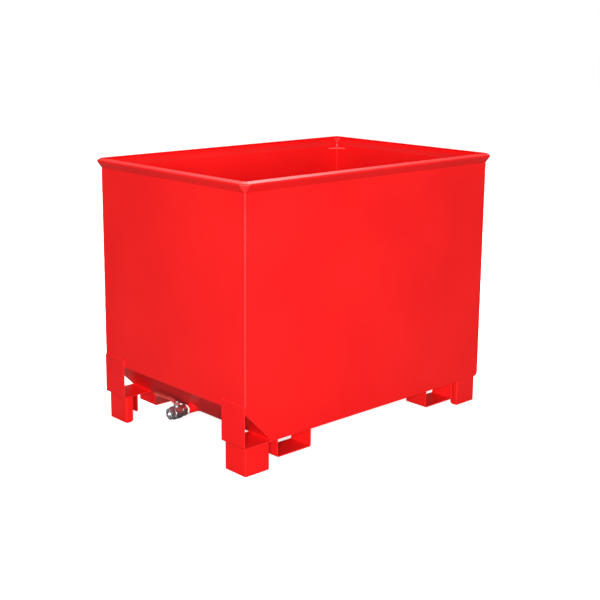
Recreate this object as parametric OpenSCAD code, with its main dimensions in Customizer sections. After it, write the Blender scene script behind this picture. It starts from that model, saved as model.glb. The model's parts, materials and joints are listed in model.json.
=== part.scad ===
// Open-top steel stacking container with a sloped floor end, fork pockets, stacking feet
// and a drain ball valve. Millimetres, +Z up.
// The origin is on the ground, under the middle of the container. +X points away from the
// valve end, and the long sides face -Y (front) and +Y (back).

/* [Body] */
// Outside length of the body below the rim
body_length = 1200; // [800:10:1600]
// Outside width of the body below the rim
body_width = 800; // [600:10:1200]
// Height of the straight walls, from the underside of the floor to the fold of the rim
wall_height = 843; // [400:1:1200]
// Thickness of the wall and floor sheet
sheet_t = 3; // [2:0.5:5]
// Inside radius of an ordinary sheet bend
bend_r = 2; // [1:0.5:4]
// Inside radius of the bend between the floor and the plain end wall
floor_bend_r = 15; // [5:1:40]
// How far the end edges of the long sides stand back for the corner weld
weld_setback = 1.5; // [0.5:0.1:2]

/* [Sloped floor] */
// Length, and so height, of the floor that slopes at 45 degrees to the valve end wall
slope_run = 120; // [100:1:200]
// Distance from the plain end to the weld that joins the floor to the end wall's flange
floor_seam = 60; // [40:1:120]

/* [Rim] */
// How far the rim flares outward, to its fold line before rounding
flare_out = 23; // [18:0.5:30]
// Height of the flared band, to the same line
flare_rise = 29; // [20:0.5:40]
// How far the lip turns back in from the fold line
lip_in = 21; // [12:0.5:23]
// Rise of the lip above the fold line
lip_rise = 8; // [6:0.5:12]

/* [Stacking corners] */
// Leg of each triangular corner plate that the feet above stand on
perch_leg = 50; // [35:1:90]
// Thickness of the corner plate
perch_t = 5; // [3:0.5:8]
// Depth of the corner plate's top below the fold of the rim
perch_drop = 10; // [5:1:60]

/* [Feet] */
// Side of the square foot
foot_size = 106; // [70:1:125]
// Height of the foot
foot_height = 100; // [80:1:150]
// Thickness of the foot sheet
foot_t = 4; // [3:0.5:6]
// Inset of the foot from the outer faces of the body
foot_inset = 7.4; // [5:0.1:20]
// Length of the return lips that stiffen the foot
foot_lip = 30; // [15:1:40]
// Radius of the lower free corners of the lips
lip_corner = 10; // [4:1:15]
// How far the bracket over a foot at the sloped end reaches past that foot
bracket_margin = 5; // [0:0.5:40]
// How far the bracket laps up over the end wall
bracket_lap = 25; // [10:1:60]
// Thickness of the bracket
bracket_t = 3; // [2:0.5:5]

/* [Fork pockets] */
// Outside width of a fork pocket
pocket_width = 156; // [120:0.5:220]
// Depth of a fork pocket below the floor
pocket_depth = 66; // [50:0.5:75]
// Length of each pocket stub, in from the long side
pocket_length = 97; // [60:1:250]
// Gap between a foot and the pocket next to it
pocket_gap = 31.6; // [15:0.1:150]
// Inset of the pocket from the long side
pocket_inset = 5; // [3:0.5:15]
// Thickness of the pocket sheet
pocket_t = 4; // [3:0.5:6]
// Inside radius of the pocket's bends
pocket_bend_r = 3; // [2:0.5:8]

/* [Drain pipe] */
// Place of the drain along the width, from the middle
drain_y = 0; // [-150:1:150]
// Outside radius of the drain pipe
pipe_r = 16.85; // [14:0.05:18]
// Wall of the drain pipe
pipe_wall = 3.25; // [2.5:0.05:4]
// Gap between the lowest line of the pipe and the level of the floor's underside
pipe_gap = 0.15; // [0:0.05:20]
// Depth of the pipe's thread below its outer radius
thread_depth = 0.6; // [0.3:0.05:1]
// Bare threaded length between the valve and the paint
tape_length = 9; // [3:0.5:12]
// Thickness of the sealing tape wound on the thread
tape_t = 1.6; // [0.4:0.1:2.5]

/* [Ball valve] */
// How far the valve's outlet stands outside the end wall
valve_proud = 7; // [-10:1:30]
// Width across the flats of the two end hexagons
hex_flats = 39; // [38.5:0.5:44]
// Wall of the valve body's round middle, outside the end cap's thread
barrel_wall = 4; // [3:0.5:6]
// Radius of the outlet's female thread, at its crests
outlet_r = 15.15; // [14:0.05:16.5]
// Depth of the threaded sockets
socket_depth = 14; // [10:0.5:18]
// Metal between a seat and the socket behind it
seat_back = 4.5; // [3:0.5:10]
// Length of the outlet's hexagon
outlet_hex_l = 13; // [10:0.5:14]
// Length of the inlet's hexagon
inlet_hex_l = 16; // [10:0.5:18]
// Radius of the flow port
port_r = 12.5; // [8:0.25:12.5]
// Radius of the ball
ball_r = 17.5; // [15.5:0.25:22]
// Clearance between the ball and its seats
ball_gap = 0.3; // [0.1:0.05:0.5]
// Radial clearance of the turning stem
stem_clear = 0.05; // [0.02:0.01:0.1]
// Radius of the stem
stem_r = 4.5; // [4:0.25:5]
// Radial clearance of screwed and assembled fits
fit_clear = 0.05; // [0.02:0.01:0.1]

/* [Lever] */
// Length of the lever from the stem axis to its tip
lever_length = 132; // [90:1:160]
// Width of the lever's blade
lever_width = 16; // [14:0.5:20]
// Thickness of the lever
lever_t = 3; // [2:0.5:4]
// Rise of the lever's crank
lever_rise = 7; // [4:0.5:20]
// Length of the soft sleeve on the lever
sleeve_length = 88; // [50:1:90]
// Thickness of the sleeve round the blade
sleeve_t = 2; // [1:0.5:3]

/* [Strainer] */
// Width of the strainer over the drain, without its flanges
strainer_width = 110; // [80:1:160]
// Length of the strainer up the slope
strainer_length = 84; // [60:1:130]
// Height of the strainer above the sloped floor
strainer_lift = 10; // [6:0.5:20]
// Thickness of the strainer
strainer_t = 2; // [1:0.5:3]
// Radius of the strainer's holes
strainer_hole_r = 4; // [2:0.5:5]

/* [Hidden] */

$fn = 96;
eps = 0.01;
far = 3000;                 // longer than anything that is cut
bend_steps = 5;             // flats in one sheet bend
paint = [0.94, 0.13, 0.13];
nickel = [0.62, 0.60, 0.60];
steel = [0.72, 0.72, 0.74];
ptfe = [0.95, 0.95, 0.93];
sleeve_red = [0.75, 0.25, 0.22];
chrome = [0.85, 0.85, 0.88];

half_l = body_length / 2;
half_w = body_width / 2;
floor_z = foot_height;                    // underside of the floor
fold_z = floor_z + wall_height;           // fold where the rim starts
tip_z = fold_z + flare_rise;
top_z = tip_z + lip_rise;
inner_w = body_width - 2 * sheet_t;       // clear width between the long sides

bracket_width = foot_inset + foot_size + bracket_margin;
pocket_from_end = foot_inset + foot_size + pocket_gap;

// Drain and valve, on one axis along X
drain_z = floor_z + pipe_r + pipe_gap;
pipe_bore_r = pipe_r - pipe_wall;
thread_r = pipe_r - thread_depth;
cavity_gap = 0.5;                         // room round the ball
cavity_r = ball_r + cavity_gap;
seat_r = ball_r - cavity_gap;             // outer radius of the seats
seat_near = ball_r / 2;                   // span of a seat along the bore
seat_short = 3;                           // a seat ends this far inside the ball's radius
seat_far = ball_r - seat_short;
cap_thread_wall = 1.5;                    // from the cavity to the end cap's thread
cap_thread_r = cavity_r + cap_thread_wall;
barrel_r = cap_thread_r + barrel_wall;
hex_half = max(hex_flats / 2, cap_thread_r);    // a bigger ball widens the hexagons
hex_r = hex_half / cos(30);
valve_half = seat_far + seat_back + socket_depth;
valve_x = -half_l - valve_proud + valve_half;
inlet_x = valve_x + valve_half;           // inlet face of the valve
barrel_from = -valve_half + outlet_hex_l; // the round middle lies between the hexagons
hex_from = valve_half - inlet_hex_l;
cap_wall = 1;                             // metal of the end cap beyond the seat
cap_end = -seat_near - cap_wall;          // inner end of the end cap

// Stem stack, heights above the bore axis
stem_flange_z = ball_r + ball_gap;
stem_flange_t = 2;
stem_flange_r = stem_r + 2;
flange_clear = 0.3;
stem_play = 0.2;                          // how far the stem can rise
packing_step = 1.7;                       // metal between the flange recess and the packing
packing_z = stem_flange_z + stem_flange_t + packing_step;
packing_t = 2.5;
packing_r = stem_r + 3;
gland_depth = 2;                          // of the gland nut inside the boss
boss_wall = 4;
boss_top = packing_z + packing_t + gland_depth;
gland_head = 4;
gland_over = 2.3;                         // the nut's corners beyond the packing
hub_gap = 0.5;
lever_z = boss_top + gland_head + hub_gap;    // underside of the lever's hub
lever_nut_t = 6;
lever_nut_wall = 3.5;                     // from the stud to the nut's corners
stud_over = 1.5;                          // stud that stands above its nut
stud_r = stem_r - 0.5;                    // threaded end of the stem
stud_flats = 2 * stud_r - 2;              // width across the stud's two flats
stud_top = lever_z + lever_t + lever_nut_t + stud_over;
tang_w = 6;                               // the tang that turns the ball
tang_l = 12;
tang_drop = 3.6;
tang_clear = 0.15;
hub_r = 11;
crank_from = 12;
crank_run = 18;
chamfer = 1.2;

// ---- Bent sheet -------------------------------------------------------------------------
function unit(v) = v / norm(v);
function left_of(v) = [-v[1], v[0]];
function turned(v, a) = [v[0] * cos(a) - v[1] * sin(a), v[0] * sin(a) + v[1] * cos(a)];
function turn_at(a, b, c) =
    let (d1 = unit(b - a), d2 = unit(c - b)) atan2(cross(d1, d2), d1 * d2);

// Points of one bend, s millimetres to the left of the path, for inside radius r
function bend_points(a, b, c, r, t, s) =
    let (
        turn = turn_at(a, b, c),
        way = sign(turn),
        d1 = unit(b - a),
        path_r = r + (way > 0 ? t : 0),
        centre = b - d1 * path_r * tan(abs(turn) / 2) + left_of(d1) * path_r * way
    )
    [for (i = [0:bend_steps])
        centre - turned(left_of(d1) * way, turn * i / bend_steps) * (path_r - s * way)];

// One face of a bent sheet: the path itself at s = 0, or the other face at s = t
function face_points(path, radii, t, s) =
    let (n = len(path) - 1)
    concat(
        [path[0] + left_of(unit(path[1] - path[0])) * s],
        [for (i = [1:n - 1])
            each bend_points(path[i - 1], path[i], path[i + 1], radii[i - 1], t, s)],
        [path[n] + left_of(unit(path[n] - path[n - 1])) * s]
    );

function reversed(list) = [for (i = [len(list) - 1:-1:0]) list[i]];

// Section of a bent sheet that lies to the left of its path
module sheet_section(path, radii, t) {
    polygon(concat(face_points(path, radii, t, 0), reversed(face_points(path, radii, t, t))));
}

// Stands a section up: its x runs along X and its y along Z, spread evenly across Y
module across_y(width) {
    rotate([90, 0, 0]) linear_extrude(width, center = true) children();
}

// Stands a section up: its x runs along Y and its y along Z, spread evenly along X
module along_x(length) {
    rotate([90, 0, 90]) linear_extrude(length, center = true) children();
}

// ---- Body -------------------------------------------------------------------------------
// Outer face of a wall and its rim: x is outward from the wall, y is height
rim_path = [
    [0, fold_z],
    [flare_out, tip_z],
    [flare_out - lip_in, top_z]
];
rim_radii = [bend_r, bend_r];

// Half-spaces on the two sides of the slope's underside, which trim what meets it
module slope_plane() {
    translate([-half_l + slope_run, 0, floor_z]) rotate([0, 45, 0]) children();
}

module below_slope() {
    slope_plane() translate([-far / 2, -far / 2, -far]) cube([far, far, far]);
}

module above_slope() {
    slope_plane() translate([-far / 2, -far / 2, 0]) cube([far, far, far]);
}

module end_wall_valve() {
    section = concat([[0, floor_z]], rim_path);
    color(paint) difference() {
        mirror([1, 0, 0]) translate([half_l, 0, 0])
            across_y(inner_w) sheet_section(section, rim_radii, sheet_t);
        below_slope();
    }
}

module end_wall_plain() {
    section = concat([[-floor_seam, floor_z], [0, floor_z]], rim_path);
    color(paint) translate([half_l, 0, 0])
        across_y(inner_w)
            sheet_section(section, concat([floor_bend_r], rim_radii), sheet_t);
}

module floor_sheet() {
    section = [
        [-half_l, floor_z + slope_run],
        [-half_l + slope_run, floor_z],
        [half_l - floor_seam, floor_z]
    ];
    color(paint) difference() {
        across_y(inner_w) sheet_section(section, [bend_r * 3], sheet_t);
        // square end against the valve end wall
        translate([-half_l - far + sheet_t, -half_w, 0]) cube([far, body_width, far]);
        // drain hole through the slope
        translate([-half_l, drain_y, drain_z]) rotate([0, 90, 0])
            cylinder(r = pipe_bore_r, h = slope_run);
    }
}

// Long side for the +Y side of the container
module side_panel() {
    length = body_length - 2 * weld_setback;
    corner_r = floor_bend_r + sheet_t;
    section = concat([[0, floor_z]], rim_path);
    difference() {
        translate([0, half_w, 0]) along_x(length) sheet_section(section, rim_radii, sheet_t);
        below_slope();
        // bottom corner at the plain end, rounded like the floor's bend
        translate([half_l - corner_r, 0, floor_z + corner_r]) difference() {
            translate([0, half_w - far / 2, -corner_r - eps]) cube([far, far, corner_r + eps]);
            rotate([-90, 0, 0]) cylinder(r = corner_r, h = far, center = true);
        }
    }
}

module side_panel_front() color(paint) mirror([0, 1, 0]) side_panel();
module side_panel_back() color(paint) side_panel();

// ---- Corners of the rim -----------------------------------------------------------------
// Outer (s = 0) or inner (s = sheet_t) face of the rim, from its tip's bend to its top edge
function rim_face(s) =
    let (points = face_points(rim_path, [bend_r], sheet_t, s))
    [for (i = [1:len(points) - 1]) points[i]];

// Filler between the ends of two rims, for the corner at +X +Y: it starts in a point at the
// wall and carries the rim's bend across from one rim's end to the other's
module rim_corner() {
    x0 = half_l - weld_setback;
    y0 = inner_w / 2;
    n = len(rim_face(0));
    m = 2 * n + 1;                        // points in one face of the filler
    apex = [x0, y0, fold_z];
    outer = [
        apex,
        for (p = rim_face(0)) [half_l + p[0], y0, p[1]],
        for (p = rim_face(0)) [x0, half_w + p[0], p[1]]
    ];
    inner = [
        apex + [0, 0, 2 * sheet_t],
        for (p = rim_face(sheet_t)) [half_l + p[0], y0, p[1]],
        for (p = rim_face(sheet_t)) [x0, half_w + p[0], p[1]]
    ];
    outer_faces = [
        [0, 1, n + 1],
        for (k = [1:n - 1]) each [[k, k + 1, n + k], [k + 1, n + k + 1, n + k]]
    ];
    inner_faces = [for (f = outer_faces) [f[2] + m, f[1] + m, f[0] + m]];
    edge = [0, for (k = [1:n]) k, for (k = [n:-1:1]) n + k];
    edge_faces = [
        for (i = [0:m - 1]) let (a = edge[i], b = edge[(i + 1) % m])
            each [[b, a, a + m], [b, a + m, b + m]]
    ];
    polyhedron(concat(outer, inner), concat(outer_faces, inner_faces, edge_faces));
}

// Places a +X +Y corner piece in any corner
module in_corner(valve_end, front) {
    mirror([valve_end ? 1 : 0, 0, 0]) mirror([0, front ? 1 : 0, 0]) children();
}

module rim_corner_valve_front() color(paint) in_corner(true, true) rim_corner();
module rim_corner_valve_back() color(paint) in_corner(true, false) rim_corner();
module rim_corner_plain_front() color(paint) in_corner(false, true) rim_corner();
module rim_corner_plain_back() color(paint) in_corner(false, false) rim_corner();

// ---- Stacking plates --------------------------------------------------------------------
module stack_plate() {
    translate([half_l - sheet_t, half_w - sheet_t, fold_z - perch_drop - perch_t])
        linear_extrude(perch_t)
            polygon([[0, 0], [-perch_leg, 0], [0, -perch_leg]]);
}

module stack_plate_valve_front() color(paint) in_corner(true, true) stack_plate();
module stack_plate_valve_back() color(paint) in_corner(true, false) stack_plate();
module stack_plate_plain_front() color(paint) in_corner(false, true) stack_plate();
module stack_plate_plain_back() color(paint) in_corner(false, false) stack_plate();

// ---- Feet -------------------------------------------------------------------------------
// What is cut off to round the lower corner at the origin of a sheet that runs along +X
module lower_corner() {
    rotate([90, 0, 0]) linear_extrude(2 * foot_t, center = true) difference() {
        translate([-eps, -eps]) square(lip_corner + eps);
        translate([lip_corner, lip_corner]) circle(lip_corner);
    }
}

// Folded foot, its outer corner towards +X +Y and open towards the middle
module foot() {
    x1 = half_l - foot_inset;
    y1 = half_w - foot_inset;
    x0 = x1 - foot_size;
    y0 = y1 - foot_size;
    section = [
        [x1 - foot_lip, y0],
        [x1, y0],
        [x1, y1],
        [x0, y1],
        [x0, y1 - foot_lip]
    ];
    difference() {
        linear_extrude(foot_height)
            sheet_section(section, [bend_r, bend_r, bend_r], foot_t);
        translate([x1 - foot_lip, y0 + foot_t / 2, 0]) lower_corner();
        translate([x0 + foot_t / 2, y1 - foot_lip, 0]) rotate([0, 0, 90]) lower_corner();
    }
}

module foot_valve_front() color(paint) in_corner(true, true) foot();
module foot_valve_back() color(paint) in_corner(true, false) foot();
module foot_plain_front() color(paint) in_corner(false, true) foot();
module foot_plain_back() color(paint) in_corner(false, false) foot();

// Bent plate from the end wall round under the slope, for the valve end and the +Y side
module foot_bracket() {
    section = [
        [0, floor_z + slope_run + bracket_lap],
        [0, floor_z],
        [slope_run + bracket_t, floor_z]
    ];
    difference() {
        translate([-half_l - bracket_t, half_w - bracket_width / 2, 0])
            across_y(bracket_width) sheet_section(section, [bend_r], bracket_t);
        // under the body it ends against the slope
        intersection() {
            above_slope();
            translate([-half_l, -far / 2, 0]) cube([far, far, far]);
        }
    }
}

module foot_bracket_front() color(paint) mirror([0, 1, 0]) foot_bracket();
module foot_bracket_back() color(paint) foot_bracket();

// ---- Fork pockets -----------------------------------------------------------------------
// Channel stub under the floor, for the +X +Y quarter
module fork_pocket() {
    x1 = half_l - pocket_from_end;
    x0 = x1 - pocket_width;
    section = [
        [x0, floor_z],
        [x0, floor_z - pocket_depth],
        [x1, floor_z - pocket_depth],
        [x1, floor_z]
    ];
    translate([0, half_w - pocket_inset - pocket_length / 2, 0])
        across_y(pocket_length)
            sheet_section(section, [pocket_bend_r, pocket_bend_r], pocket_t);
}

module fork_pocket_valve_front() color(paint) in_corner(true, true) fork_pocket();
module fork_pocket_valve_back() color(paint) in_corner(true, false) fork_pocket();
module fork_pocket_plain_front() color(paint) in_corner(false, true) fork_pocket();
module fork_pocket_plain_back() color(paint) in_corner(false, false) fork_pocket();

// ---- Drain pipe -------------------------------------------------------------------------
// Cylinder along X between two places on the drain's axis
module on_axis(x0, x1, r) {
    translate([x0, drain_y, drain_z]) rotate([0, 90, 0]) cylinder(r = r, h = x1 - x0);
}

module drain_pipe() {
    pipe_end = inlet_x - socket_depth + 1;
    slope_foot = -half_l + slope_run;
    color(paint) difference() {
        union() {
            on_axis(pipe_end, inlet_x + tape_length, thread_r);
            on_axis(inlet_x + tape_length, slope_foot + pipe_r, pipe_r);
        }
        on_axis(pipe_end - 1, slope_foot + 2 * pipe_r, pipe_bore_r);
        above_slope();
    }
}

module thread_tape() {
    color(ptfe) difference() {
        on_axis(inlet_x, inlet_x + tape_length, thread_r + tape_t);
        on_axis(inlet_x - 1, inlet_x + tape_length + 1, thread_r);
    }
}

// ---- Ball valve -------------------------------------------------------------------------
// The valve's pieces are drawn round the ball's centre: bore along X, stem up
module in_valve() {
    translate([valve_x, drain_y, drain_z]) children();
}

module bore_x(x0, x1, r) {
    translate([x0, 0, 0]) rotate([0, 90, 0]) cylinder(r = r, h = x1 - x0);
}

// Hexagon along X with its outer end chamfered
module end_hex(x0, x1, outer_end) {
    slope = chamfer * 2;
    intersection() {
        translate([x0, 0, 0]) rotate([0, 90, 0]) cylinder(r = hex_r, h = x1 - x0, $fn = 6);
        rotate([0, 90, 0]) rotate_extrude()
            polygon(outer_end < 0
                ? [[0, x0], [hex_r - slope, x0], [hex_r, x0 + chamfer], [hex_r, x1], [0, x1]]
                : [[0, x0], [hex_r, x0], [hex_r, x1 - chamfer], [hex_r - slope, x1], [0, x1]]);
    }
}

module valve_body() {
    shoulder = barrel_r - hex_half;
    color(nickel) in_valve() difference() {
        union() {
            rotate([0, 90, 0]) rotate_extrude()
                polygon([
                    [0, barrel_from],
                    [barrel_r - chamfer, barrel_from],
                    [barrel_r, barrel_from + chamfer],
                    [barrel_r, hex_from - shoulder - 3],
                    [barrel_r - shoulder, hex_from],
                    [0, hex_from]
                ]);
            end_hex(hex_from - 1, valve_half, 1);
            cylinder(r = packing_r + boss_wall, h = boss_top);
        }
        // room for the ball, the end cap's thread, the inlet seat and the flow port
        bore_x(barrel_from - 1, seat_near + 1, cavity_r);
        bore_x(barrel_from - 1, cap_end + 0.5, cap_thread_r + fit_clear);
        bore_x(0, seat_far, seat_r + fit_clear);
        bore_x(0, valve_half, port_r);
        bore_x(valve_half - socket_depth, valve_half + 1, thread_r + fit_clear);
        // stem: flange recess, bearing and packing chamber
        cylinder(r = stem_flange_r + flange_clear, h = stem_flange_z + stem_flange_t + stem_play);
        cylinder(r = stem_r + stem_clear, h = boss_top + 1);
        translate([0, 0, packing_z]) cylinder(r = packing_r + fit_clear, h = boss_top);
    }
}

module valve_end_cap() {
    color(nickel) in_valve() difference() {
        union() {
            end_hex(-valve_half, barrel_from, -1);
            bore_x(barrel_from - 1, cap_end, cap_thread_r);
        }
        bore_x(-valve_half - 1, -valve_half + socket_depth, outlet_r);
        bore_x(-valve_half, 0, port_r);
        bore_x(-seat_far, 0, seat_r + fit_clear);
    }
}

// Seat ring on the +X side of the ball
module ball_seat() {
    difference() {
        bore_x(seat_near, seat_far, seat_r);
        bore_x(0, ball_r, port_r + 0.1);
        sphere(r = ball_r + ball_gap);
    }
}

module ball_seat_inlet() color(ptfe) in_valve() ball_seat();
module ball_seat_outlet() color(ptfe) in_valve() mirror([1, 0, 0]) ball_seat();

// Shut: the ball's own bore lies across the flow
module valve_ball() {
    slot_w = tang_w + 2 * tang_clear;
    color(chrome) in_valve() difference() {
        sphere(r = ball_r);
        rotate([90, 0, 0]) cylinder(r = port_r, h = 3 * ball_r, center = true);
        translate([-ball_r, -slot_w / 2, stem_flange_z - tang_drop - 2 * tang_clear])
            cube([2 * ball_r, slot_w, ball_r]);
    }
}

module valve_stem() {
    color(steel) in_valve() {
        translate([-tang_l / 2, -tang_w / 2, stem_flange_z - tang_drop])
            cube([tang_l, tang_w, tang_drop]);
        translate([0, 0, stem_flange_z]) cylinder(r = stem_flange_r, h = stem_flange_t);
        translate([0, 0, stem_flange_z]) cylinder(r = stem_r, h = lever_z - stem_flange_z);
        translate([0, 0, lever_z - eps]) stud_shape(lever_t + 2 * eps, 0);
        translate([0, 0, lever_z + lever_t])
            cylinder(r = stud_r, h = stud_top - lever_z - lever_t);
    }
}

// The stud's two flats, which turn the lever with the stem
module stud_shape(h, clear) {
    r = stud_r + clear;
    flats = stud_flats + 2 * clear;
    intersection() {
        cylinder(r = r, h = h);
        translate([-flats / 2, -2 * r, 0]) cube([flats, 4 * r, h]);
    }
}

module stem_packing() {
    color(ptfe) in_valve() translate([0, 0, packing_z]) difference() {
        cylinder(r = packing_r, h = packing_t);
        translate([0, 0, -1]) cylinder(r = stem_r + stem_clear, h = packing_t + 2);
    }
}

module gland_nut() {
    color(nickel) in_valve() translate([0, 0, packing_z + packing_t]) difference() {
        union() {
            cylinder(r = packing_r, h = gland_depth);
            translate([0, 0, gland_depth])
                cylinder(r = packing_r + gland_over, h = gland_head, $fn = 6);
        }
        translate([0, 0, -1]) cylinder(r = stem_r + stem_clear, h = boss_top);
    }
}

// ---- Lever ------------------------------------------------------------------------------
blade_z = lever_z + lever_rise;
sleeve_from = lever_length - sleeve_length;

module lever() {
    section = [
        [-hub_r, lever_z],
        [crank_from, lever_z],
        [crank_from + crank_run, blade_z],
        [lever_length - 1, blade_z]
    ];
    color(sleeve_red) in_valve() difference() {
        intersection() {
            along_x(2 * hub_r) sheet_section(section, [bend_r, bend_r], lever_t);
            linear_extrude(far) union() {
                circle(r = hub_r);
                translate([-lever_width / 2, 0])
                    square([lever_width, lever_length - 1 - lever_width / 2]);
                translate([0, lever_length - 1 - lever_width / 2]) circle(d = lever_width);
            }
        }
        translate([0, 0, lever_z - 1]) stud_shape(lever_t + 2, fit_clear);
    }
}

module lever_sleeve() {
    outer_h = lever_t + 2 * sleeve_t;
    outer_w = lever_width + 2 * sleeve_t;
    mid_z = blade_z + lever_t / 2;
    clear = fit_clear;
    color(sleeve_red) in_valve() difference() {
        translate([0, lever_length, mid_z]) rotate([90, 0, 0])
            linear_extrude(sleeve_length) union() {
                square([outer_w - outer_h, outer_h], center = true);
                for (side = [-1, 1])
                    translate([side * (outer_w - outer_h) / 2, 0]) circle(d = outer_h);
            }
        translate([-lever_width / 2 - clear, sleeve_from - 1, blade_z - clear])
            cube([lever_width + 2 * clear, sleeve_length, lever_t + 2 * clear]);
    }
}

module lever_nut() {
    color(steel) in_valve() translate([0, 0, lever_z + lever_t]) difference() {
        cylinder(r = stud_r + lever_nut_wall, h = lever_nut_t, $fn = 6);
        translate([0, 0, -1]) cylinder(r = stud_r + fit_clear, h = lever_nut_t + 2);
    }
}

// ---- Strainer ---------------------------------------------------------------------------
// Perforated hat section that lies on the slope over the drain
module drain_strainer() {
    flange = 15;
    above_fold = 8;                       // bare slope below the strainer
    half = strainer_width / 2;
    section = [
        [-half - flange, 0],
        [-half, 0],
        [-half, strainer_lift],
        [half, strainer_lift],
        [half, 0],
        [half + flange, 0]
    ];
    rows = 4;
    columns = 6;
    pitch_y = strainer_width / columns;
    pitch_s = strainer_length / rows;
    // frame on the slope: first axis across, second up the slope, third off the sheet
    color(steel)
        translate([-half_l + slope_run, drain_y, floor_z])
            rotate([0, 45, 0]) translate([0, 0, sheet_t])
                translate([-strainer_length - above_fold, 0, 0])
                    difference() {
                        rotate([90, 0, 90]) linear_extrude(strainer_length)
                            sheet_section(section, [1, 1, 1, 1], strainer_t);
                        for (i = [0:rows - 1], j = [0:columns - 1])
                            translate([(i + 0.5) * pitch_s, (j + 0.5) * pitch_y - half, 0])
                                cylinder(r = strainer_hole_r, h = 2 * strainer_lift);
                    }
}

end_wall_valve();
end_wall_plain();
side_panel_front();
side_panel_back();
floor_sheet();
rim_corner_valve_front();
rim_corner_valve_back();
rim_corner_plain_front();
rim_corner_plain_back();
stack_plate_valve_front();
stack_plate_valve_back();
stack_plate_plain_front();
stack_plate_plain_back();
foot_valve_front();
foot_valve_back();
foot_plain_front();
foot_plain_back();
foot_bracket_front();
foot_bracket_back();
fork_pocket_valve_front();
fork_pocket_valve_back();
fork_pocket_plain_front();
fork_pocket_plain_back();
drain_pipe();
thread_tape();
valve_body();
valve_end_cap();
ball_seat_inlet();
ball_seat_outlet();
valve_ball();
valve_stem();
stem_packing();
gland_nut();
lever();
lever_sleeve();
lever_nut();
drain_strainer();
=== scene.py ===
# %% [markdown]
# # A stacking steel container with a drain valve
#
# The object is an open tub of folded sheet steel on four feet, welded together and powder coated
# in red, with a small ball valve under its sloping end. This lesson dresses the measured model:
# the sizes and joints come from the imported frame, and Blender adds the rounded sheet edges, the
# weld beads, the screw threads and the finishes.
#
# The first cell loads that frame. Its box is kept, because nothing that is added may grow it.

# %% Load the frame
import json
import math

import bmesh
import bpy
import numpy as np
from mathutils import Matrix, Vector


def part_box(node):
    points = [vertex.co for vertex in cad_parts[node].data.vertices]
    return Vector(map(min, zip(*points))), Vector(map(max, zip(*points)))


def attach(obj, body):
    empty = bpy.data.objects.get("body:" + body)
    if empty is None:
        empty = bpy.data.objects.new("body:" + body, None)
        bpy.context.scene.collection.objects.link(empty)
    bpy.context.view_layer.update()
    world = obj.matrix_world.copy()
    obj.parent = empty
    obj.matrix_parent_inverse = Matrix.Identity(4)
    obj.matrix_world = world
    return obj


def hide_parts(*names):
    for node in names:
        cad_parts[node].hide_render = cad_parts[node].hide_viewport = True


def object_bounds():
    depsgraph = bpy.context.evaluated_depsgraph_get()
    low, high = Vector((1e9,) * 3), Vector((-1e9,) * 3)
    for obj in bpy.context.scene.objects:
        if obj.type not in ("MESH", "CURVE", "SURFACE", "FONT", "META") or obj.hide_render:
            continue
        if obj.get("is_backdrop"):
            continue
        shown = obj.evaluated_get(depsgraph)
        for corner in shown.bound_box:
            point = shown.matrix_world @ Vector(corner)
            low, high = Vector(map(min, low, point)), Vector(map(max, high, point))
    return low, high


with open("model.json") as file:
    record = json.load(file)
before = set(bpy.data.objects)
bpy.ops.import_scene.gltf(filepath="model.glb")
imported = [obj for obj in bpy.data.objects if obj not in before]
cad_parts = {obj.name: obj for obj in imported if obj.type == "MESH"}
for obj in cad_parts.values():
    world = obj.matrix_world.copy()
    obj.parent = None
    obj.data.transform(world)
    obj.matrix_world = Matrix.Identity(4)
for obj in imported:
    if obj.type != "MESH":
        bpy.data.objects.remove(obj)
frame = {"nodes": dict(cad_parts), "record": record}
cad_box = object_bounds()
MM = 0.001
print("nodes", len(frame["nodes"]), "box", [tuple(round(c, 4) for c in v) for v in cad_box])

# %% [markdown]
# ## Where things are
#
# Welds lie where sheets meet, so the seams need the faces of the sheets. They could be typed in
# again as numbers, but then they would drift from the model. They are read from the boxes of
# neighbouring parts: a stacking plate touches both walls from inside, the foot bracket ends where
# the floor starts to rise, and the rim's corner filler starts at the fold.

# %% Faces that the seams follow
SHEET = 3 * MM
FLOOR_BEND = 15 * MM                                 # between the floor and the plain end wall
FOOT_T = 4 * MM
ENDS = {"valve": -1, "plain": 1}
SIDES = {"front": -1, "back": 1}
plate_low, plate_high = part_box("stack_plate_plain_back")
rim_low, rim_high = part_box("rim_corner_plain_back")
bracket_low, bracket_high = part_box("foot_bracket_back")
floor_low, floor_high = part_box("floor_sheet")
inner = plate_high
outer = inner + Vector((SHEET, SHEET, 0))
floor_under = floor_low.z
floor_top = floor_under + SHEET
fold_z = rim_low.z
rise_x, bracket_top = bracket_high.x, bracket_high.z
seam_x = floor_high.x
print("inside", round(inner.x * 2, 3), round(inner.y * 2, 3), "floor", round(floor_under, 4),
      "fold", round(fold_z, 4))
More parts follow.
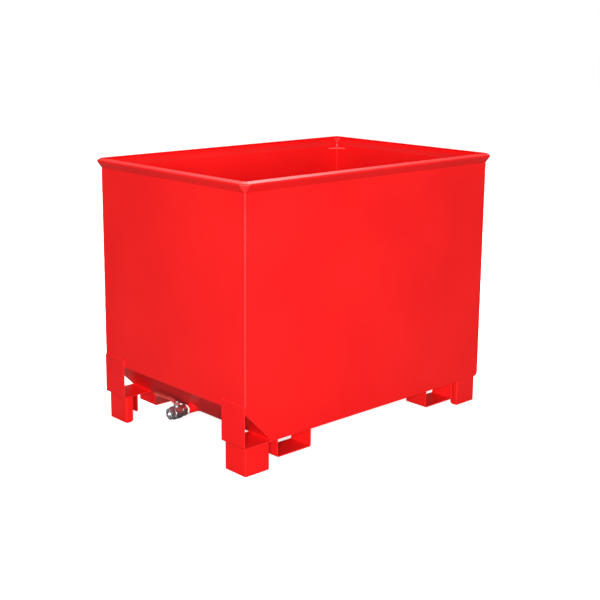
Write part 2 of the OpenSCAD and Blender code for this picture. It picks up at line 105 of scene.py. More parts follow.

# %% [markdown]
# ## Shader sums as plain arithmetic
#
# A finish is a network of nodes, and wiring each sum by hand hides what it says. A small class
# wraps one node socket and overloads the arithmetic signs, so a mask for a painted edge highlight
# can be written as `1 - edge * 0.5`. The reflected forms, such as `__rsub__`, are what lets the
# number come first.


# %% One socket, with arithmetic
class Wire:
    """A value that runs from one node to the next."""

    def __init__(self, finish, socket):
        self.finish = finish
        self.socket = socket

    def _sum(self, operation, first, second):
        return self.finish.node("ShaderNodeMath", {"operation": operation}, {0: first, 1: second})

    def __add__(self, other):
        return self._sum("ADD", self, other)

    def __radd__(self, other):
        return self._sum("ADD", other, self)

    def __sub__(self, other):
        return self._sum("SUBTRACT", self, other)

    def __rsub__(self, other):
        return self._sum("SUBTRACT", other, self)

    def __mul__(self, other):
        return self._sum("MULTIPLY", self, other)

    def __rmul__(self, other):
        return self._sum("MULTIPLY", other, self)

    def between(self, low, high):
        """0 below low, 1 above high, and straight in between."""
        sockets = {"Value": self, "From Min": low, "From Max": high}
        return self.finish.node("ShaderNodeMapRange", {"clamp": True}, sockets)


print("wires can be added, subtracted and multiplied")

# %% [markdown]
# ## A finish and its nodes
#
# A material needs a surface shader, an output and the nodes that vary it. One method makes every
# node: it takes the type, the node's own settings, which are set first because they decide which
# sockets there are, and then the values or links of the sockets. The noises are measured in cycles
# for each metre of the part, so a grain keeps its real size on a large sheet and on a small nut.


# %% The finish class
class Finish:
    """A material and the nodes behind it."""

    kind, surface, end = "materials", "ShaderNodeBsdfPrincipled", "ShaderNodeOutputMaterial"

    def __init__(self, name, **sockets):
        self.material = getattr(bpy.data, self.kind).new(name)
        self.material.use_nodes = True
        self.tree = self.material.node_tree
        self.tree.nodes.clear()
        surface = self.node(self.surface)
        self.shader = surface.socket.node
        self.node(self.end, {}, {0: surface})
        self.set(**sockets)

    def set(self, **sockets):
        """Gives the shader's own sockets a number, a colour or a wire."""
        for name, value in sockets.items():
            self._plug(self.shader.inputs[name.replace("_", " ")], value)

    def _plug(self, socket, value):
        if isinstance(value, Wire):
            self.tree.links.new(value.socket, socket)
        else:
            socket.default_value = value

    def node(self, kind, settings=None, sockets=None, out=0):
        """Adds a node: its settings first, then the values or links of its sockets."""
        made = self.tree.nodes.new(kind)
        for name, value in (settings or {}).items():
            setattr(made, name, value)
        for name, value in (sockets or {}).items():
            self._plug(made.inputs[name], value)
        return Wire(self, made.outputs[out]) if made.outputs else None

    def noise(self, cycles_per_metre, detail=2.0, stretch=(1, 1, 1)):
        """Cloudy noise from 0 to 1, in the part's own coordinates."""
        place = self.node("ShaderNodeTexCoord", out=3)
        scaled = self.node("ShaderNodeVectorMath", {"operation": "MULTIPLY"},
                           {0: place, 1: stretch})
        return self.node("ShaderNodeTexNoise", {},
                         {"Vector": scaled, "Scale": cycles_per_metre, "Detail": detail})

    def cells(self, cycles_per_metre, out=0):
        """Cells with a distance (out 0) or a random colour each (out 1)."""
        place = self.node("ShaderNodeTexCoord", out=3)
        return self.node("ShaderNodeTexVoronoi", {},
                         {"Vector": place, "Scale": cycles_per_metre}, out)

    def blend(self, factor, first, second):
        """One colour turning into another."""
        sockets = {0: factor, 6: first, 7: second}
        return self.node("ShaderNodeMix", {"data_type": "RGBA"}, sockets, out=2)

    def relief(self, height):
        """Turns a height in metres into the surface's Normal."""
        self.set(Normal=self.node("ShaderNodeBump", {}, {"Height": height, "Distance": 1.0}))

    def mark(self, name):
        """A number that the mesh carries on its faces."""
        return self.node("ShaderNodeAttribute", {"attribute_name": name}, {}, out=2)


def rgb(red, green, blue):
    """A colour in linear light, as a socket takes it."""
    return (red, green, blue, 1.0)


print("shader helpers ready")

# %% [markdown]
# ## Red powder coat
#
# Powder coat is a baked polyester skin. It has a soft gloss, a fine orange-peel ripple of two to
# three millimetres, and the sheet beneath it is never quite flat, because welding pulls it. It
# also thins a little on sharp edges; their lighter tint is partly that and partly a painted
# highlight. A glossy shader with one colour would look like plastic, so the colour, the roughness
# and the relief each get their own noise: broad waves for the sheet, fine ones for the peel, and a
# mark on the rounded edges. A lighter copy of the coat, used on the welds and the small pieces
# between them, is a painted highlight.


# %% Powder coat, and a lighter copy as a painted highlight
def powder_coat(name, deep, bright, thin_coat_and_highlight_tint, gloss):
    coat = Finish(name, Specular_IOR_Level=0.22)
    broad = coat.noise(3.2, 1.5)
    speckle = coat.noise(900, 1.0)
    edge = coat.mark("edge")
    base = coat.blend(broad.between(0.3, 0.7), rgb(*deep), rgb(*bright))
    grained = coat.blend(speckle.between(0.35, 0.75) * 0.12, base, rgb(*deep))
    # rounded edges are tinted lighter: partly thinner coat, partly a painted highlight
    coat.set(Base_Color=coat.blend(edge * 0.55, grained, rgb(*thin_coat_and_highlight_tint)))
    coat.set(Roughness=gloss + broad * 0.08 + coat.noise(60, 3.0) * 0.06 - edge * 0.05)
    peel = coat.noise(380, 1.0)
    sheet_wave = coat.noise(2.6, 1.0)
    coat.relief(peel * 0.000035 + coat.noise(45, 2.0) * 0.00004 + sheet_wave * 0.0016)
    return coat


RED = dict(deep=(0.77, 0.0085, 0.0095), bright=(0.83, 0.0115, 0.0110))
red = powder_coat("red_powder_coat", thin_coat_and_highlight_tint=(0.86, 0.035, 0.034), gloss=0.33, **RED)
# a lighter, glossier copy of the coat; its lighter red is a painted highlight on welds and small
# pieces
red_highlight_copy = powder_coat("red_powder_coat_highlight_copy", thin_coat_and_highlight_tint=(0.86, 0.035, 0.034), gloss=0.24,
                       deep=(0.80, 0.022, 0.022), bright=(0.86, 0.035, 0.033))
print("powder coat nodes", len(red.tree.nodes))

# %% [markdown]
# ## Plated and galvanised metal
#
# The valve body is a brass forging that was blasted and nickel plated, so it is dull and slightly
# pitted. Its hexagons have faint turning marks. The ball is chromed and polished. The nuts and the
# strainer are zinc, which crystallises in pale flakes. All are fully metallic, and what tells them
# apart is how rough they are and at what scale.


# %% Nickel, chrome and zinc
def metal(name, dark, light, rough, spread, grain, relief_height, spangle=0.0):
    plate = Finish(name, Metallic=1.0)
    cloud = plate.noise(90, 3.0)
    fine = plate.noise(grain, 2.0)
    colour = plate.blend(cloud.between(0.3, 0.7), rgb(*dark), rgb(*light))
    if spangle:
        flake = plate.cells(spangle, 1)
        tone = plate.node("ShaderNodeSeparateColor", {}, {0: flake})
        colour = plate.blend(tone * 0.5, colour, rgb(*dark))
        plate.set(Roughness=rough + tone * spread + fine * 0.08)
    else:
        plate.set(Roughness=rough + cloud * spread + fine * spread)
    # the rounded edges are blended towards the light tone: a painted highlight
    edge = plate.mark("edge")
    plate.set(Base_Color=plate.blend(edge * 0.5, colour, rgb(*light)))
    plate.relief(fine * relief_height)
    return plate


nickel = metal("blasted_nickel", (0.36, 0.35, 0.365), (0.78, 0.78, 0.81), 0.27, 0.12, 1500, 2e-5)
chrome = metal("polished_chrome", (0.62, 0.63, 0.66), (0.72, 0.73, 0.76), 0.04, 0.03, 700, 1e-6)
zinc = metal("zinc", (0.48, 0.49, 0.50), (0.66, 0.67, 0.68), 0.26, 0.16, 900, 2e-5, spangle=160)
steel = metal("bright_steel", (0.55, 0.55, 0.56), (0.70, 0.70, 0.71), 0.18, 0.10, 1200, 1e-5)
print("metals ready")

# %% [markdown]
# ## Plastic tape, lever paint and the dipped sleeve
#
# The white ring behind the valve is PTFE tape wound on the pipe's thread: waxy, slightly see
# through and ridged by the winding. The lever is painted steel, and its grip was dipped in soft
# vinyl, which is duller and has a faint skin.

# %% Tape, lever paint and vinyl
tape = Finish("white_ptfe", Specular_IOR_Level=0.35)
tape.set(Base_Color=tape.blend(tape.noise(500, 3.0), rgb(0.86, 0.83, 0.80),
                               rgb(0.93, 0.92, 0.90)))
tape.set(Roughness=0.42 + tape.noise(300, 2.0) * 0.2)
tape.relief(tape.noise(2500, 2.0, (0.3, 1, 1)) * 3e-5)

lever_paint = Finish("lever_paint", Specular_IOR_Level=0.5)
lever_cloud = lever_paint.noise(160, 3.0)
lever_tone = lever_paint.blend(lever_cloud, rgb(0.50, 0.050, 0.045), rgb(0.60, 0.075, 0.065))
# patches of the lever's rounded edges are painted lighter: a painted highlight
lever_edge_highlight = lever_paint.mark("edge") * lever_paint.noise(300, 3.0).between(0.35, 0.6)
lever_paint.set(Base_Color=lever_paint.blend(lever_edge_highlight * 0.6, lever_tone, rgb(0.62, 0.30, 0.27)))
lever_paint.set(Roughness=0.30 + lever_cloud * 0.15)
lever_paint.relief(lever_paint.noise(900, 2.0) * 2e-5)

vinyl = Finish("dipped_vinyl", Specular_IOR_Level=0.35)
vinyl.set(Base_Color=vinyl.blend(vinyl.noise(140, 2.0), rgb(0.46, 0.050, 0.040),
                                 rgb(0.56, 0.075, 0.055)))
vinyl.set(Roughness=0.46 + vinyl.noise(220, 3.0) * 0.14)
vinyl.relief(vinyl.noise(1400, 2.0) * 3e-5)
print("tape and lever finishes ready")

# %% [markdown]
# ## Rounded sheet edges
#
# Cut sheet that has been coated has no knife edges: each one shows as a thin line of light. The
# model's solids are sharp, and they arrive as triangles. A bevel on triangles goes wrong, so each
# solid is copied, its triangles are joined back into whole faces, and then its outer edges get a
# small radius. The bevel's faces are marked for the finish, and a weighted-normal modifier keeps
# the big faces flat.


# %% A rounded copy of a model part
SAME_POINT = 0.002 * MM
FLAT, SHARP = math.radians(0.4), math.radians(30)    # what counts as one face, and as an edge
EDGE_STEPS = 3


def rounded(node, finish, radius=0.8, clamp=False):
    body = next(b for b, names in frame["record"]["behaviour"]["bodies"].items() if node in names)
    work = bmesh.new()
    work.from_mesh(frame["nodes"][node].data)
    bmesh.ops.remove_doubles(work, verts=work.verts, dist=SAME_POINT)
    bmesh.ops.dissolve_limit(work, angle_limit=FLAT, verts=work.verts, edges=work.edges)
    mark = work.faces.layers.float.new("edge")
    edges = []
    for edge in work.edges:
        edge.smooth = True
        if len(edge.link_faces) == 2 and edge.calc_face_angle() > SHARP:
            if edge.is_convex:
                edges.append(edge)
            else:
                edge.smooth = False
    made = bmesh.ops.bevel(
        work, geom=edges, offset=radius * MM, offset_type="OFFSET", segments=EDGE_STEPS,
        profile=0.5, affect="EDGES", clamp_overlap=clamp)
    for face in work.faces:
        face.smooth = True
    for face in made["faces"]:
        face[mark] = 1.0
    mesh = bpy.data.meshes.new(node + "_dressed")
    work.to_mesh(mesh)
    work.free()
    piece = bpy.data.objects.new(node + "_dressed", mesh)
    bpy.context.scene.collection.objects.link(piece)
    normals = piece.modifiers.new("flat_faces", "WEIGHTED_NORMAL")
    normals.keep_sharp = True
    mesh.materials.append(finish.material)
    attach(piece, body)
    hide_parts(node)
    return piece


SHEET_PARTS = ["end_wall_valve", "end_wall_plain", "side_panel_front", "side_panel_back",
               "floor_sheet", "foot_bracket_front", "foot_bracket_back"]
for end in ENDS:
    for side in SIDES:
        SHEET_PARTS += [f"{kind}_{end}_{side}" for kind in
                        ("rim_corner", "stack_plate", "foot", "fork_pocket")]
# these small pieces get the lighter copy of the coat, a painted highlight
HIGHLIGHT_COPY_PARTS = ("rim_corner", "stack_plate")              # small pieces between welds
for part in SHEET_PARTS:
    rounded(part, red_highlight_copy if part.startswith(HIGHLIGHT_COPY_PARTS) else red)
print("sheet parts rounded", len(SHEET_PARTS))

# %% [markdown]
# ## Sweeping a shape along a line
#
# Weld beads, screw threads, wound tape and the lever's sleeve are all one section that travels
# along a line and changes on the way. A curve object with a bevel can't vary its section like
# that, so one helper takes a stack of rings, joins each to the next and closes the ends.


# %% The sweep helper
def sweep(name, rings, finish, body="container", loop=False, sharp=40):
    rings = np.asarray(rings, float)
    count, width, _ = rings.shape
    index = np.arange(count * width).reshape(count, width)
    start, after = (index, np.roll(index, -1, 0)) if loop else (index[:-1], index[1:])
    quads = np.stack([start, np.roll(start, -1, 1), np.roll(after, -1, 1), after], -1)
    faces = quads.reshape(-1, 4).tolist()
    if not loop:
        faces += [index[0][::-1].tolist(), index[-1].tolist()]
    mesh = bpy.data.meshes.new(name)
    mesh.from_pydata(rings.reshape(-1, 3).tolist(), [], faces)
    work = bmesh.new()
    work.from_mesh(mesh)
    bmesh.ops.recalc_face_normals(work, faces=work.faces)
    work.to_mesh(mesh)
    work.free()
    mesh.polygons.foreach_set("use_smooth", [True] * len(mesh.polygons))
    mesh.set_sharp_from_angle(angle=math.radians(sharp))
    mesh.materials.append(finish.material)
    piece = bpy.data.objects.new(name, mesh)
    bpy.context.scene.collection.objects.link(piece)
    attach(piece, body)
    return piece


def unit(v):
    return v / np.linalg.norm(v, axis=-1, keepdims=True)


print("sweep ready")

# %% [markdown]
# ## Weld beads
#
# The tub is welded along its corners, round its floor and wherever a bracket, plate, foot or
# pocket meets it. A bead is a row of overlapping puddles, and each puddle freezes in a curved
# ripple. A bump texture would show no outline against the light, so beads are real meshes. Their
# section lies between two directions, one along each sheet. The crown swells and falls once per
# puddle, and the middle of each ring trails behind its ends, which bends the ripples.


# %% The bead
BEAD_POINTS = 7
RIPPLE_LAG = 0.45                                    # of a puddle, at the middle of the bead
ROOT_DEPTH = 0.4 * MM


def bead(name, path, first, second, leg, pitch=4.0, ripple=0.16, crown=0.22, rise=None,
         finish=red):
    """A weld along a path. First and second point along its two sheets, away from the joint.

    Leg and pitch are in millimetres: how far the bead reaches up each sheet, and its puddles'
    spacing. Ripple and crown are shares of the leg.
    """
    path = np.asarray(path, float)
    first = unit(np.broadcast_to(np.asarray(first, float), path.shape))
    second = unit(np.broadcast_to(np.asarray(second, float), path.shape))
    along = np.concatenate([[0], np.cumsum(np.linalg.norm(np.diff(path, axis=0), axis=1))])
    steps = max(6, int(along[-1] / (pitch * MM / 4)) + 1)
    place = np.linspace(0, along[-1], steps)

    def spread(values):
        return np.stack([np.interp(place, along, values[:, k]) for k in range(3)], -1)

    centre, a, b = spread(path), unit(spread(first)), unit(spread(second))
    bulge = unit(a + b) if rise is None else np.broadcast_to(np.asarray(rise, float), a.shape)
    forward = unit(np.gradient(centre, axis=0))
    t = np.linspace(0, 1, BEAD_POINTS)
    arch = 4 * t * (1 - t)
    turns = place / (pitch * MM) * 2 * math.pi
    # two slow waves out of step stand for the welder's hand
    hand = 1 + 0.05 * np.sin(place * 131 + 1.7) + 0.04 * np.sin(place * 57 + len(name))
    ends = np.sqrt(np.clip(np.minimum(place, along[-1] - place) / (leg * MM) + 0.15, 0, 1))
    size = (leg * MM * hand * ends)[:, None, None]
    puddle = (1 + ripple * np.cos(turns))[:, None, None]
    skin = (a[:, None] * (1 - t)[:, None] + b[:, None] * t[:, None]) * size
    skin = skin + bulge[:, None] * (arch[:, None] * crown) * size * puddle
    skin = skin - forward[:, None] * (arch[:, None] * pitch * MM * RIPPLE_LAG)
    root = centre[:, None] - bulge[:, None] * ROOT_DEPTH
    rings = np.concatenate([centre[:, None] + skin, root], 1)
    return sweep(name, rings, finish)


def arc(centre, radius, start, stop, count):
    """Points of an arc in the XZ plane, from start to stop in degrees."""
    angles = np.radians(np.linspace(start, stop, count))
    return [(centre[0] + radius * math.cos(t), centre[1] + radius * math.sin(t)) for t in angles]


print("bead ready")

# %% [markdown]
# ### Corner welds
#
# The side panels stop short of the end walls, which leaves an open groove down each corner. It
# is filled and dressed smooth, so this bead is nearly round and hardly rippled. On the inside a
# finer fillet runs down one corner, along the floor and up the other, in a single pass.

# %% Outer corner beads
CORNER_LEG, CORNER_IN = 3.8, 3.2 * MM
for end, ex in ENDS.items():
    for side, sy in SIDES.items():
        low = bracket_top if end == "valve" else floor_under + FLOOR_BEND + SHEET
        x, y = ex * (outer.x - CORNER_IN), sy * (outer.y - CORNER_IN)
        # the corner beads get the lighter copy of the coat, a painted highlight
        bead(f"corner_weld_{end}_{side}", [(x, y, low), (x, y, fold_z + 1.5 * MM)],
             (ex, 0, 0), (0, sy, 0), CORNER_LEG, pitch=7, ripple=0.03, crown=0.29,
             finish=red_highlight_copy)
print("corner beads, z from", round(bracket_top, 3), "to", round(fold_z, 3))

# %% Inner fillets along the long sides
SLOPE = 1 / math.sqrt(2)
slope_shift = SHEET * math.sqrt(2)
line = rise_x + floor_under + slope_shift            # x + z on the slope's upper face
slope_top, slope_foot = line + inner.x, line - floor_top
profile = np.array([
    (-inner.x, plate_low.z), (-inner.x, slope_top + 4 * MM),
    (-inner.x + 3 * MM, slope_top - 3 * MM), (slope_foot - 4 * MM, floor_top + 4 * MM),
    (slope_foot + 5 * MM, floor_top), (inner.x - FLOOR_BEND - MM, floor_top),
    *arc((inner.x - FLOOR_BEND, floor_top + FLOOR_BEND), FLOOR_BEND, -90, 0, 9),
    (inner.x, plate_low.z)])
tangent = unit(np.gradient(profile, axis=0))
lift = np.stack([-tangent[:, 1], np.zeros(len(tangent)), tangent[:, 0]], -1)
for side, sy in SIDES.items():
    run = np.stack([profile[:, 0], np.full(len(profile), sy * inner.y), profile[:, 1]], -1)
    bead(f"inner_weld_{side}", run, lift, (0, -sy, 0), 1.2, pitch=5, crown=0.08)
print("inner fillets, slope meets wall at z", round(slope_top, 4))

# %% [markdown]
# ### Seams across the floor
#
# The floor's butt seam crosses the tub near the plain end, where the floor sheet meets the fold of
# the end wall. A butt weld has both sheets in one plane, so halfway between them is no direction
# at all, and it gets its own direction to rise in. The seam above the slope is an ordinary
# fillet, between the end wall and a sheet that leaves it at 45 degrees.

# %% Butt seam in the floor and the seam above the slope
for label, z, up in (("top", floor_top, 1), ("under", floor_under, -1)):
    bead(f"floor_seam_{label}", [(seam_x, -inner.y, z), (seam_x, inner.y, z)],
         (1, 0, 0), (-1, 0, 0), 3.4, pitch=5, crown=0.3, rise=(0, 0, up))
bead("slope_seam", [(-inner.x, -inner.y, slope_top), (-inner.x, inner.y, slope_top)],
     (0, 0, 1), (SLOPE, 0, -SLOPE), 3.0, pitch=5, crown=0.1)
print("floor seam at x", round(seam_x, 3))

# %% [markdown]
# ### Stacking plates
#
# The feet of the container above stand on a triangular plate in each corner. Each plate is
# welded to both walls, above and below, and one more bead climbs from it up the corner of the
# rim. The four corners are mirror images, so one loop with two signs makes all of them.

# %% Beads on the stacking plates
PLATE_LEG, RIM_LEG = 2.6, 5.0
WELD_STOP = 5 * MM                                   # short of the plate's front edge
plate_run = plate_high.x - plate_low.x - WELD_STOP
half_open = (rim_high - rim_low) / 2
for end, ex in ENDS.items():
    for side, sy in SIDES.items():
        corner = Vector((ex * inner.x, sy * inner.y))
        for face, z, up in (("over", plate_high.z, 1), ("under", plate_low.z, -1)):
            root = (corner.x, corner.y, z)
            from_y = (corner.x, corner.y - sy * plate_run, z)
            from_x = (corner.x - ex * plate_run, corner.y, z)
            bead(f"plate_weld_{face}_{end}_{side}_a", [from_y, root],
                 (0, 0, up), (-ex, 0, 0), PLATE_LEG)
            bead(f"plate_weld_{face}_{end}_{side}_b", [from_x, root],
                 (0, 0, up), (0, -sy, 0), PLATE_LEG)
        fold = (corner.x + ex * MM, corner.y + sy * MM, fold_z + 4 * MM)
        lip = (corner.x + ex * (half_open.x - MM), corner.y + sy * (half_open.y - MM),
               rim_high.z - 8 * MM)
        # the rim beads get the lighter copy of the coat, a painted highlight
        bead(f"rim_weld_{end}_{side}", [(corner.x, corner.y, plate_high.z), fold, lip],
             (-ex, 0, 0), (0, -sy, 0), RIM_LEG, pitch=6, crown=0.1, finish=red_highlight_copy)
print("stacking plate beads, length", round(plate_run, 4))

# %% [markdown]
# ### Foot brackets, feet and fork pockets
#
# At the sloped end a bent bracket carries each foot. It laps over the end wall, where it has a
# bead along its top and its inner side, and it meets the slope at its other end. The feet and the
# pockets hang under the floor. The foot's beads run on the inner faces of its two plates, where
# they don't spoil the outside, and the pocket's run along both outer sides.

# %% Foot brackets on the end wall and on the slope
BRACKET_LEG = 2.8
wall_end = line - slope_shift + outer.x              # where the end wall turns into the slope
meet = rise_x - SHEET
for side, sy in SIDES.items():
    inside, outside = sy * bracket_low.y, sy * (outer.y - MM)
    top_in = (-outer.x, inside, bracket_top)
    bead(f"bracket_weld_top_{side}", [top_in, (-outer.x, outside, bracket_top)],
         (0, 0, 1), (-1, 0, 0), BRACKET_LEG)
    bead(f"bracket_weld_side_{side}", [top_in, (-outer.x, inside, wall_end)],
         (0, -sy, 0), (-1, 0, 0), BRACKET_LEG)
    bead(f"bracket_weld_slope_{side}", [(meet, inside, floor_top), (meet, outside, floor_top)],
         (-1, 0, 0), (-SLOPE, 0, SLOPE), 3.5)
print("brackets", round(bracket_top, 3), round(wall_end, 4))

# %% Feet and fork pockets under the floor
FOOT_LEG = 3.2
for end, ex in ENDS.items():
    for side, sy in SIDES.items():
        low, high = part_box(f"foot_{end}_{side}")
        out_x, in_x = (high.x, low.x) if ex > 0 else (low.x, high.x)
        out_y, in_y = (high.y, low.y) if sy > 0 else (low.y, high.y)
        face_x, face_y = out_x - ex * FOOT_T, out_y - sy * FOOT_T
        bend = (face_x, face_y, floor_under)
        bead(f"foot_weld_{end}_{side}_a", [(in_x, face_y, floor_under), bend],
             (0, 0, -1), (0, -sy, 0), FOOT_LEG)
        bead(f"foot_weld_{end}_{side}_b", [(face_x, in_y, floor_under), bend],
             (0, 0, -1), (-ex, 0, 0), FOOT_LEG)
        low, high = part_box(f"fork_pocket_{end}_{side}")
        for label, x, out in (("near", low.x, -1), ("far", high.x, 1)):
            bead(f"pocket_weld_{end}_{side}_{label}",
                 [(x, low.y, floor_under), (x, high.y, floor_under)],
                 (0, 0, -1), (out, 0, 0), FOOT_LEG)
print("feet and pockets welded")

# %% [markdown]
# ### The drain pipe's weld
#
# The pipe runs level through a floor that slopes at 45 degrees, so the joint is an ellipse. Each
# point gets the two directions of its own: out along the pipe, and out along the slope.

# %% Ring weld on the drain pipe
pipe_low, pipe_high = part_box("drain_pipe")
PIPE_R = (pipe_high.z - pipe_low.z) / 2
pipe_z = (pipe_high.z + pipe_low.z) / 2
turn = np.radians(np.arange(0, 360, 3))
radial = np.stack([np.zeros_like(turn), np.cos(turn), np.sin(turn)], -1)
ring = radial * PIPE_R + np.array([0, 0, pipe_z])
ring[:, 0] = rise_x + floor_under - ring[:, 2]
reached = ring[:, 2] > floor_under + 0.6 * MM        # lower points dip under the floor's fold
slope_normal = np.array([-SLOPE, 0, -SLOPE])
on_slope = unit(radial - (radial @ slope_normal)[:, None] * slope_normal)
on_pipe = unit(slope_normal - (radial @ slope_normal)[:, None] * radial)
first_missed = int(np.argmax(~reached))              # 0 if all are reached
order = np.roll(np.arange(len(turn)), -first_missed - 1)
order = order[reached[order]]
bead("pipe_weld", ring[order], on_pipe[order], on_slope[order], 3.4, pitch=3.2)
print("pipe radius", round(PIPE_R, 5), "axis height", round(pipe_z, 4))

# %% [markdown]
# ## The drain valve
#
# The pipe, the two halves of the valve, the nuts and the lever keep the shapes of their solids,
# with small radii. The radii are clamped, because some faces of a nut are hardly wider than them.

# %% Valve pieces with small radii
rounded("drain_pipe", red, 0.4, clamp=True)
for part in ("valve_body", "valve_end_cap"):
    rounded(part, nickel, 0.8, clamp=True)
rounded("gland_nut", zinc, 0.3, clamp=True)
rounded("lever", lever_paint, 0.5, clamp=True)
rounded("lever_nut", zinc, 0.4, clamp=True)
cap_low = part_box("valve_end_cap")[0]

# %% [markdown]
# What the solids leave out are the screw threads. A thread is a small triangle that travels on a
# helix, which the sweep helper makes in one go: a pipe thread has eleven turns to the inch. It
# fades in and out over half a turn, as a cut thread does.


# %% Threads
def thread(name, x_from, x_to, root_r, crest_r, pitch, finish, axis_z):
    turns = (x_to - x_from) / (pitch * MM)
    angle = np.linspace(0, turns * 2 * math.pi, int(turns * 72))
    x = np.linspace(x_from, x_to, len(angle))
    fade = np.clip(np.minimum(angle, angle[-1] - angle) / math.pi, 0.02, 1)
    rings = []
    for offset, radius in ((-0.46, root_r), (0, crest_r), (0.46, root_r)):
        r = root_r + (radius - root_r) * fade
        rings.append(np.stack([x + offset * pitch * MM, r * np.cos(angle),
                               axis_z + r * np.sin(angle)], -1))
    return sweep(name, np.stack(rings, 1), finish, sharp=25)


PIPE_PITCH = 25.4 / 11                               # millimetres for one turn
SOCKET_R = 15.2 * MM
thread("outlet_thread", cap_low.x + 2.2 * MM, cap_low.x + 12.5 * MM, SOCKET_R,
       SOCKET_R - 1.1 * MM, PIPE_PITCH, nickel, pipe_z)
tape_low, tape_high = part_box("thread_tape")
thread("pipe_thread", tape_high.x - 0.6 * MM, tape_high.x + 7 * MM, PIPE_R - 0.55 * MM,
       PIPE_R + 0.33 * MM, PIPE_PITCH, red, pipe_z)
print("threads cut")

# %% [markdown]
# ### Thread tape
#
# The tape is wound in overlapping turns and squeezes up against the valve. Its ring is swept
# round the pipe's axis. Ridges slant across it by one tape edge per turn, and a slow wave makes
# the winding look hand made.

# %% PTFE tape
TAPE_R = (tape_high.z - tape_low.z) / 2
TAPE_BORE = TAPE_R - 1.4 * MM
rows = np.linspace(0, 1, 15)
rings = []
for angle in np.radians(np.arange(0, 360, 4)):
    slant = rows * 4 + angle / (2 * math.pi)
    ridge = 0.22 * np.abs(np.sin(slant * math.pi)) + 0.10 * math.sin(5 * angle) * rows
    radius = TAPE_R - (0.45 + 0.35 * (2 * rows - 1) ** 4) * MM + ridge * MM    # mm, thin at ends
    xs = tape_low.x + (0.02 + 0.96 * rows) * (tape_high.x - tape_low.x)
    xs = xs + 0.15 * MM * math.sin(3 * angle + 1)
    line_out = np.stack([xs, radius * math.cos(angle), pipe_z + radius * math.sin(angle)], -1)
    back = [(x, TAPE_BORE * math.cos(angle), pipe_z + TAPE_BORE * math.sin(angle))
            for x in (xs[-1], xs[0])]
    rings.append(np.concatenate([line_out, back]))
wound = sweep("thread_tape_wound", rings, tape, loop=True)
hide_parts("thread_tape")
print("tape width mm", round((tape_high.x - tape_low.x) / MM, 2))

# %% [markdown]
# ### Lever sleeve
#
# The sleeve is a dip-moulded tube: flat like the lever inside it, fuller towards its closed end,
# with shallow finger ribs. Its sections are rounded rectangles that change along the lever.

# %% Lever sleeve
sleeve_low, sleeve_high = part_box("lever_sleeve")
mid = (sleeve_low + sleeve_high) / 2
half = (sleeve_high - sleeve_low) / 2
around = np.radians(np.arange(0, 360, 10))
corner_shape = np.stack([np.sign(np.cos(around)) * np.abs(np.cos(around)) ** 0.45,
                         np.sign(np.sin(around)) * np.abs(np.sin(around)) ** 0.6], -1)
rings = []
ROUND_FROM, ROUND_OVER = 0.9, 0.1                    # the closed end, as shares of the length
RIBS, RIB_SHARE = 9, 0.04
closing = ROUND_FROM + ROUND_OVER * np.sin(np.linspace(0.1, 1.5, 12))
for s in np.concatenate([np.linspace(0, ROUND_FROM, 60), closing]):
    past = max(0.0, (s - ROUND_FROM) / ROUND_OVER)
    close = math.sqrt(max(0.0, 1 - past ** 2)) * 0.96 + 0.04
    lip = 0.93 + 0.07 * min(1.0, s / 0.02)
    rib = RIB_SHARE * math.sin(s * 2 * math.pi * RIBS) if 0.12 < s < 0.86 else 0.0
    wide = half.x * (0.93 + 0.05 * s + rib * 0.5) * close * lip
    tall = half.z * (0.93 + 0.06 * s + rib * 0.3) * (close ** 0.6) * lip
    y = sleeve_low.y + s * 2 * half.y
    points = np.stack([mid.x + corner_shape[:, 0] * wide, np.full(len(around), y),
                       mid.z + corner_shape[:, 1] * tall], -1)
    rings.append(points)
sleeve = sweep("lever_sleeve_dipped", rings, vinyl, body="valve_lever")
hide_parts("lever_sleeve")
print("sleeve length mm", round(half.y * 2 / MM, 1))

# %% [markdown]
# ## Finishes on the parts that stay
#
# The ball, its seats, the stem, the packing and the strainer already have their final shapes.
# They only need their finish in place of the plain one that came with the model.

# %% Finishes for carried-over parts
STAYING = {"valve_ball": (chrome, "chromed_ball"), "ball_seat_inlet": (tape, "white_ptfe"),
           "ball_seat_outlet": (tape, "white_ptfe"), "stem_packing": (tape, "white_ptfe"),
           "valve_stem": (steel, "bright_steel"), "drain_strainer": (zinc, "bright_steel")}
for name, (finish, slot) in STAYING.items():
    node = frame["nodes"][name]
    node.data.materials.clear()
    node.data.materials.append(finish.material)
print("finished", sorted(STAYING))

# %% [markdown]
# ## Floor, light and camera
#
# The container stands in a white studio: an even sky, one large soft lamp low beside the camera
# and a second one high above the far corner. The floor looks white to the camera, with a soft
# shadow, but it throws back less light than it shows, as a floor does when its white comes from
# editing. Without that, the undersides would glow. A light path node tells the two apart.

# %% Floor
FLOOR_HALF = 40.0
floor_mesh = bpy.data.meshes.new("studio_floor")
floor_mesh.from_pydata([(-FLOOR_HALF, -FLOOR_HALF, 0), (FLOOR_HALF, -FLOOR_HALF, 0),
                        (FLOOR_HALF, FLOOR_HALF, 0), (-FLOOR_HALF, FLOOR_HALF, 0)],
                       [], [(0, 1, 2, 3)])
floor = bpy.data.objects.new("studio_floor", floor_mesh)
bpy.context.scene.collection.objects.link(floor)
floor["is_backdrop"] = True
paper = Finish("studio_paper", Roughness=0.9, Specular_IOR_Level=0.0)
seen = paper.node("ShaderNodeLightPath", out=0)
paper.set(Base_Color=paper.blend(seen, rgb(0.15, 0.145, 0.15), rgb(0.94, 0.94, 0.94)))
paper.set(Emission_Color=paper.blend(seen, rgb(0, 0, 0), rgb(0.73, 0.73, 0.73)),
          Emission_Strength=1.0)
floor_mesh.materials.append(paper.material)
print("floor half width", FLOOR_HALF)

# %% [markdown]
# The sky is a world, which has the same kind of node tree as a material, so the finish class
# makes it too, with other node types. It shows white and lights the scene with less, so that the
# lamps give the shape.


# %% Sky
class Sky(Finish):
    """A world made in the same way as a material."""

    kind, surface, end = "worlds", "ShaderNodeBackground", "ShaderNodeOutputWorld"


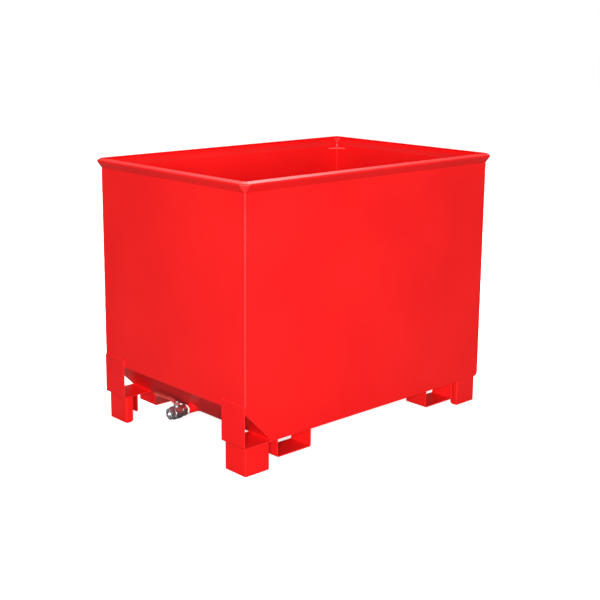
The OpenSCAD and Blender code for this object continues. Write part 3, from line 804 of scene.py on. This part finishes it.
SKY_LIGHT = 0.3
sky = Sky("studio_sky", Strength=1.0)
shown = sky.node("ShaderNodeLightPath")
sky.set(Color=sky.blend(shown, rgb(SKY_LIGHT, SKY_LIGHT, SKY_LIGHT), rgb(1, 1, 1)))
bpy.context.scene.world = sky.material
bpy.context.scene.view_settings.view_transform = "Standard"
print("sky lights with", SKY_LIGHT)


# %% Lamps
def lamp(name, place, target, size, watts):
    light = bpy.data.lights.new(name, "AREA")
    light.shape, light.size, light.energy = "DISK", size, watts
    holder = bpy.data.objects.new(name, light)
    holder.location = place
    holder.rotation_euler = (Vector(target) - Vector(place)).to_track_quat("-Z", "Y").to_euler()
    bpy.context.scene.collection.objects.link(holder)


lamp("soft_key", (-4.3, -4.7, 1.9), (-0.2, -0.2, 0.5), 2.4, 570)
lamp("soft_back", (2.4, 2.6, 6.0), (0.1, 0.1, 0.5), 3.6, 520)

# %% [markdown]
# The camera stands at chest height off the valve end's corner, about three and a half metres
# away, with a lens a little longer than normal. Its shift moves the frame and not the view, so
# the upright edges keep their slight lean.

# %% Camera
CAMERA_AT = (-2.8698, -3.0684, 1.4818)
YAW, PITCH, ROLL = (math.radians(a) for a in (47.8193, 11.5749, -0.3121))
lens = bpy.data.cameras.new("studio_camera")
lens.sensor_width = 36.0
lens.lens = 68.43
lens.shift_x, lens.shift_y = 0.0333, -0.0833
lens.clip_end = 200.0
level = Vector((math.cos(YAW), math.sin(YAW), 0.0))
ahead = level * math.cos(PITCH) - Vector((0, 0, math.sin(PITCH)))
right = Vector((level.y, -level.x, 0.0))
down = ahead.cross(right)
right, down = (right * math.cos(ROLL) + down * math.sin(ROLL),
               down * math.cos(ROLL) - right * math.sin(ROLL))
camera = bpy.data.objects.new("studio_camera", lens)
turned = Matrix((right, -down, -ahead)).transposed().to_4x4()
camera.matrix_world = Matrix.Translation(CAMERA_AT) @ turned
bpy.context.scene.collection.objects.link(camera)
bpy.context.scene.camera = camera
print("camera distance", round((Vector(CAMERA_AT) - Vector((-0.6, -0.4, 0.5))).length, 2))

# %% Sizes, and how much the dressing grew them
dressed_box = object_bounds()
growth = [(b - a) / MM for p, q in zip(cad_box, dressed_box) for a, b in zip(p, q)]
print("growth mm", [round(g, 3) for g in growth])
